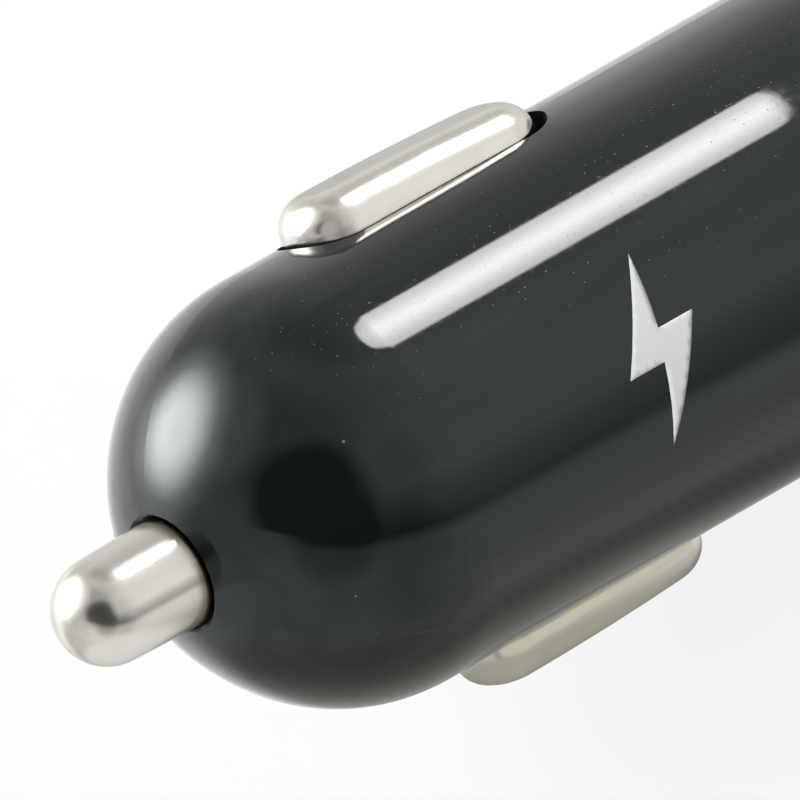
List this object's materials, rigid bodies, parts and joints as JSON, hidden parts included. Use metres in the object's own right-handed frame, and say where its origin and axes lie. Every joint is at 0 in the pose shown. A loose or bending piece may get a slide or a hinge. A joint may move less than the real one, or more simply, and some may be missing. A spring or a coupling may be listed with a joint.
{
  "type": "car usb charger plug",
  "caption": "Bullet-shaped 12 V accessory plug with a sprung centre pin, sprung side contacts and a USB socket in its flat rear end.",
  "frame": {"origin": "centre of the flat rear face, on the plug's axis", "axes": "+Z along the axis from the rear face to the centre pin's tip, X through the two side contacts"},
  "size_m": [0.025, 0.025, 0.0639],
  "materials": {
    "housing": "polished black moulding",
    "clear_plastic": "milky clear moulding",
    "nickel": "satin nickel plating",
    "spring_steel": "drawn wire",
    "brass": "stamped strip",
    "board": "solder mask",
    "socket_steel": "tinned sheet",
    "insulator": "moulded, white",
    "gold_plate": "gold flash",
    "can": "dark sleeve",
    "ferrite": "sintered",
    "copper": "enamelled wire",
    "package": "moulded epoxy",
    "tinned": "tinned leads",
    "chip_ceramic": "fired"
  },
  "bodies": {
    "body": {"barrel_shell": "housing", "rear_cap": "housing", "light_pipe": "clear_plastic", "pin_spring": "spring_steel", "pin_terminal": "brass", "right_contact_spring": "brass", "left_contact_spring": "brass", "circuit_board": "board", "usb_shell": "socket_steel", "usb_insulator": "insulator", "usb_contacts": "gold_plate", "input_capacitor": "can", "output_capacitor": "can", "inductor_core": "ferrite", "inductor_winding": "copper", "converter_chip": "package", "converter_leads": "tinned", "rectifier_diode": "package", "resettable_fuse": "package", "chip_resistors": "package", "chip_capacitors": "chip_ceramic", "indicator_led": "chip_ceramic"},
    "pin": {"centre_pin": "nickel"},
    "contact_right": {"right_contact": "nickel"},
    "contact_left": {"left_contact": "nickel"}
  },
  "joints": [
    {"name": "pin_slide", "type": "slide", "parent": "body", "child": "pin", "axis": [0, 0, -1], "range_m": [0, 0.003], "stiffness_N_per_m": 1200, "springref_m": -0.003, "deforming": ["pin_spring"]},
    {"name": "right_contact_slide", "type": "slide", "parent": "body", "child": "contact_right", "axis": [-1, 0, 0], "range_m": [0, 0.0017], "stiffness_N_per_m": 2500, "springref_m": -0.0008, "deforming": ["right_contact_spring"]},
    {"name": "left_contact_slide", "type": "slide", "parent": "body", "child": "contact_left", "axis": [1, 0, 0], "range_m": [0, 0.0017], "stiffness_N_per_m": 2500, "springref_m": -0.0008, "deforming": ["left_contact_spring"]}
  ]
}
